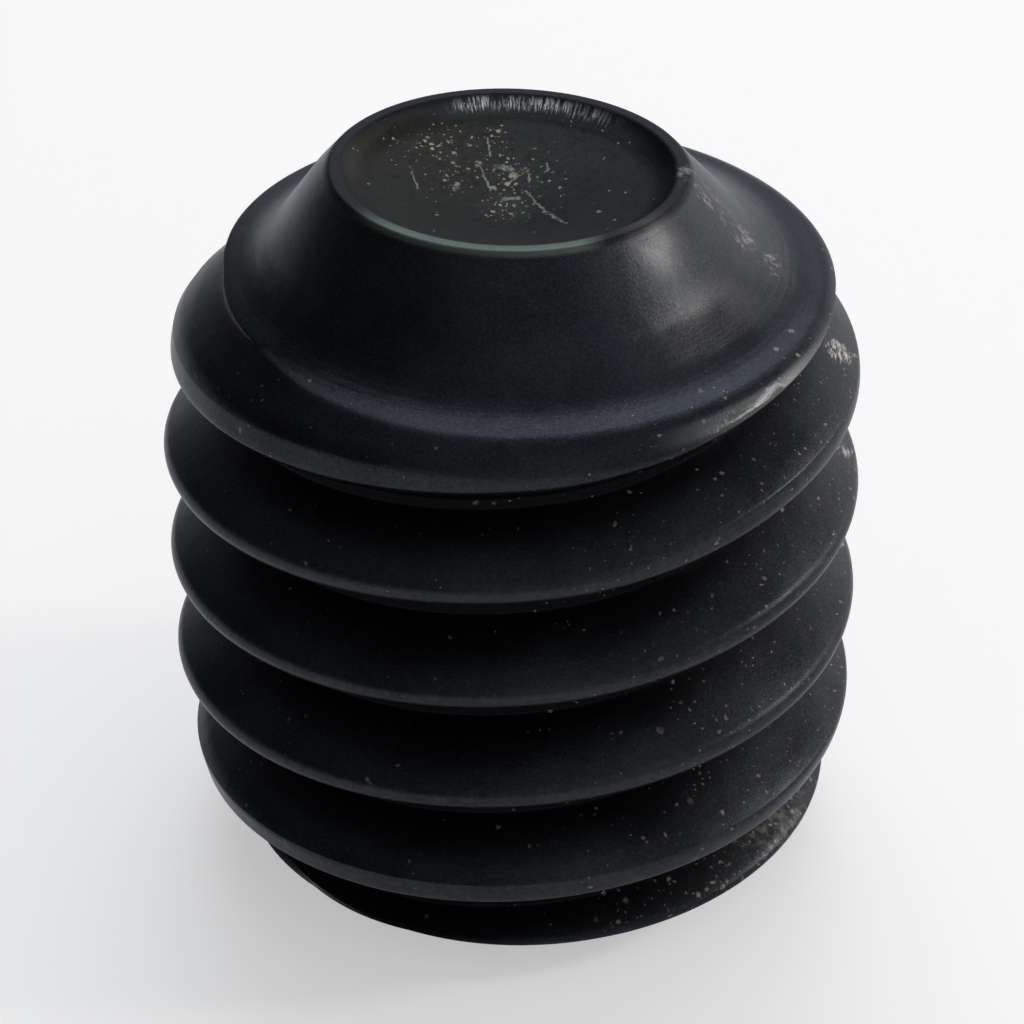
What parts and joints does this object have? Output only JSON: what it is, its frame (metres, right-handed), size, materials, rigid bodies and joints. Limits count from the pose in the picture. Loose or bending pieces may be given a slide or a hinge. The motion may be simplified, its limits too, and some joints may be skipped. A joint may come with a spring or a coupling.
{
  "type": "grub set screw",
  "caption": "Headless set screw of black steel, threaded over its whole length, with a cup point at one end and a hexagon socket in the other.",
  "frame": {"origin": "centre of the flat end face round the hexagon socket, on the thread's axis", "axes": "+Z along the thread's axis from the socket end to the cup point; two corners of the hexagon lie on X"},
  "size_m": [0.006, 0.006, 0.0063],
  "materials": {
    "black_steel": "black oxide on alloy steel, satin, lightly oiled"
  },
  "bodies": {
    "root": {"set_screw": "black_steel"}
  },
  "joints": []
}
